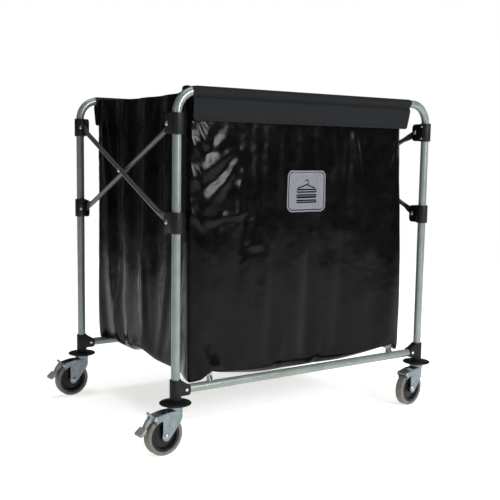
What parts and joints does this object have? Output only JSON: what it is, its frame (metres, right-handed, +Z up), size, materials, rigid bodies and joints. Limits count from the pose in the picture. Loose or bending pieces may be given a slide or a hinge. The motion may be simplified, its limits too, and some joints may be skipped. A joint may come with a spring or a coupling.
{
  "type": "linen trolley",
  "caption": "Folding X-frame linen trolley: tube hoops joined by scissor links, a hung cloth bag on folding stays, swivel castors, foot brakes at one end.",
  "frame": {"origin": "on the floor, at the centre of the trolley's whole footprint", "axes": "+X along the top bars to the end without brakes, +Y from the front hoop to the rear hoop, +Z up"},
  "size_m": [0.9688, 0.676, 0.8972],
  "materials": {
    "frame_tube": "sage grey hammertone powder coat",
    "link_tube": "sage grey hammertone powder coat",
    "black_plastic": "moulded, fine texture",
    "white_plastic": "moulded",
    "zinc": "pressed and zinc plated",
    "bright_rivet": "bright",
    "bolt": "zinc plated",
    "stay_steel": "light sage powder coat",
    "tread": "grey thermoplastic rubber",
    "core": "moulded",
    "pedal": "grey moulded",
    "bag_cloth": "glossy coated",
    "hem_cloth": "matt woven"
  },
  "bodies": {
    "front_frame": {"front_hoop": "frame_tube", "front_rail": "frame_tube", "front_rail_plugs": "black_plastic", "front_foot_brackets": "black_plastic", "front_upper_brackets": "black_plastic", "front_rivets": "bright_rivet", "front_link_bolts": "bolt", "front_bumper_discs": "black_plastic", "front_leg_plugs": "white_plastic", "front_stay_lugs": "stay_steel", "front_castor_stems": "zinc", "front_hem_sleeve": "hem_cloth", "bag_front_panel": "bag_cloth", "bag_left_panel": "bag_cloth", "bag_right_panel": "bag_cloth", "bag_bottom_panel": "bag_cloth"},
    "rear_frame": {"rear_hoop": "frame_tube", "rear_rail": "frame_tube", "rear_rail_plugs": "black_plastic", "rear_foot_brackets": "black_plastic", "rear_upper_brackets": "black_plastic", "rear_rivets": "bright_rivet", "rear_link_bolts": "bolt", "rear_bumper_discs": "black_plastic", "rear_leg_plugs": "white_plastic", "rear_stay_lugs": "stay_steel", "rear_castor_stems": "zinc", "rear_hem_sleeve": "hem_cloth", "bag_rear_panel": "bag_cloth"},
    "inner_links": {"inner_links": "link_tube"},
    "outer_links": {"outer_links": "link_tube", "link_centre_bolts": "bolt"},
    "front_slides": {"front_slide_brackets": "black_plastic", "front_slide_bolts": "bolt"},
    "rear_slides": {"rear_slide_brackets": "black_plastic", "rear_slide_bolts": "bolt"},
    "front_stays": {"front_stays": "stay_steel", "front_stay_heads": "bright_rivet"},
    "rear_stays": {"rear_stays": "stay_steel", "rear_stay_heads": "bright_rivet"},
    "fork_front_left": {"castor_fork_front_left": "zinc", "castor_axle_front_left": "bolt"},
    "wheel_front_left": {"wheel_core_front_left": "core", "tyre_front_left": "tread"},
    "brake_front_left": {"brake_lever_front_left": "pedal"},
    "fork_front_right": {"castor_fork_front_right": "zinc", "castor_axle_front_right": "bolt"},
    "wheel_front_right": {"wheel_core_front_right": "core", "tyre_front_right": "tread"},
    "fork_rear_left": {"castor_fork_rear_left": "zinc", "castor_axle_rear_left": "bolt"},
    "wheel_rear_left": {"wheel_core_rear_left": "core", "tyre_rear_left": "tread"},
    "brake_rear_left": {"brake_lever_rear_left": "pedal"},
    "fork_rear_right": {"castor_fork_rear_right": "zinc", "castor_axle_rear_right": "bolt"},
    "wheel_rear_right": {"wheel_core_rear_right": "core", "tyre_rear_right": "tread"}
  },
  "joints": [
    {"name": "fold", "type": "hinge", "parent": "front_frame", "child": "inner_links", "pos_m": [-0.376, -0.267, 0.805], "axis": [-1, 0, 0], "range_deg": [0, 50.99], "deforming": ["bag_left_panel", "bag_right_panel", "bag_bottom_panel"]},
    {"name": "link_cross", "type": "hinge", "parent": "inner_links", "child": "outer_links", "pos_m": [-0.376, 0, 0.6865], "axis": [1, 0, 0], "range_deg": [0, 102.19]},
    {"name": "rear_top_pivot", "type": "hinge", "parent": "outer_links", "child": "rear_frame", "pos_m": [-0.376, 0.267, 0.805], "axis": [-1, 0, 0], "range_deg": [0, 51.1]},
    {"name": "front_slide_pivot", "type": "hinge", "parent": "outer_links", "child": "front_slides", "pos_m": [-0.376, -0.267, 0.568], "axis": [-1, 0, 0], "range_deg": [0, 51.1]},
    {"name": "rear_slide_pivot", "type": "hinge", "parent": "inner_links", "child": "rear_slides", "pos_m": [-0.376, 0.267, 0.568], "axis": [1, 0, 0], "range_deg": [0, 51.1]},
    {"name": "front_stay_fold", "type": "hinge", "parent": "front_frame", "child": "front_stays", "pos_m": [-0.271, -0.289, 0.181], "axis": [1, 0, 0], "range_deg": [0, 70.33]},
    {"name": "rear_stay_fold", "type": "hinge", "parent": "rear_frame", "child": "rear_stays", "pos_m": [-0.271, 0.289, 0.181], "axis": [-1, 0, 0], "range_deg": [0, 70.33]},
    {"name": "swivel_front_left", "type": "hinge", "parent": "front_frame", "child": "fork_front_left", "pos_m": [-0.376, -0.298, 0.11], "axis": [0, 0, 1], "continuous": true},
    {"name": "roll_front_left", "type": "hinge", "parent": "fork_front_left", "child": "wheel_front_left", "pos_m": [-0.41087, -0.30105, 0.05], "axis": [-0.0872, 0.9962, 0], "continuous": true},
    {"name": "brake_front_left", "type": "hinge", "parent": "fork_front_left", "child": "brake_front_left", "pos_m": [-0.43976, -0.30358, 0.097], "axis": [0.0872, -0.9962, 0], "range_deg": [0, 6]},
    {"name": "swivel_front_right", "type": "hinge", "parent": "front_frame", "child": "fork_front_right", "pos_m": [0.444, -0.298, 0.11], "axis": [0, 0, 1], "continuous": true},
    {"name": "roll_front_right", "type": "hinge", "parent": "fork_front_right", "child": "wheel_front_right", "pos_m": [0.40953, -0.30408, 0.05], "axis": [-0.1736, 0.9848, 0], "continuous": true},
    {"name": "swivel_rear_left", "type": "hinge", "parent": "rear_frame", "child": "fork_rear_left", "pos_m": [-0.376, 0.298, 0.11], "axis": [0, 0, 1], "continuous": true},
    {"name": "roll_rear_left", "type": "hinge", "parent": "fork_rear_left", "child": "wheel_rear_left", "pos_m": [-0.41091, 0.29556, 0.05], "axis": [-0.0698, 0.9976, 0], "continuous": true},
    {"name": "brake_rear_left", "type": "hinge", "parent": "fork_rear_left", "child": "brake_rear_left", "pos_m": [-0.43984, 0.29354, 0.097], "axis": [0.0698, -0.9976, 0], "range_deg": [0, 6]},
    {"name": "swivel_rear_right", "type": "hinge", "parent": "rear_frame", "child": "fork_rear_right", "pos_m": [0.444, 0.298, 0.11], "axis": [0, 0, 1], "continuous": true},
    {"name": "roll_rear_right", "type": "hinge", "parent": "fork_rear_right", "child": "wheel_rear_right", "pos_m": [0.409, 0.298, 0.05], "axis": [0, 1, 0], "continuous": true}
  ],
  "couplings": [
    {"joint": "link_cross", "follows": "fold", "ratio": 2},
    {"joint": "rear_top_pivot", "follows": "fold", "ratio": 1},
    {"joint": "front_slide_pivot", "follows": "fold", "ratio": 1},
    {"joint": "rear_slide_pivot", "follows": "fold", "ratio": 1},
    {"joint": "front_stay_fold", "follows": "fold", "ratio": 1.3764},
    {"joint": "rear_stay_fold", "follows": "fold", "ratio": 1.3764}
  ]
}
